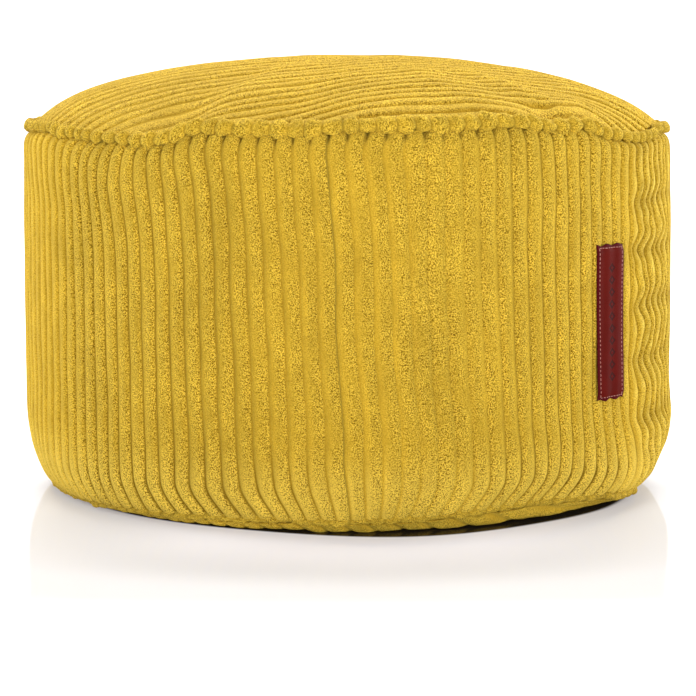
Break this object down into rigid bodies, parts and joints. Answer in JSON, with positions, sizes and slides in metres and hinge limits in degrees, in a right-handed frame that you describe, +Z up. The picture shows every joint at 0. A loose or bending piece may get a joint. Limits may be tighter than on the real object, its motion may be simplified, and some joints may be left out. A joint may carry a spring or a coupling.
{
  "type": "bean bag footstool",
  "caption": "Low round bean bag footstool in wide-wale corduroy, with a domed top, corded seams and a plain leather tab on its side.",
  "frame": {"origin": "centre of the base, on the surface that the footstool stands on", "axes": "+Z up along the axis of the drum, -Y towards the front, the leather tab on the front right"},
  "size_m": [0.5024, 0.501, 0.331],
  "materials": {
    "corduroy": "soft mustard-yellow wide-wale corduroy with a plush pile",
    "leather_tab": "matt maroon leather with pale stitching round its edge"
  },
  "bodies": {
    "root": {"top_panel": "corduroy", "side_band": "corduroy", "bottom_panel": "corduroy", "top_piping": "corduroy", "bottom_piping": "corduroy", "label": "leather_tab"}
  },
  "joints": []
}
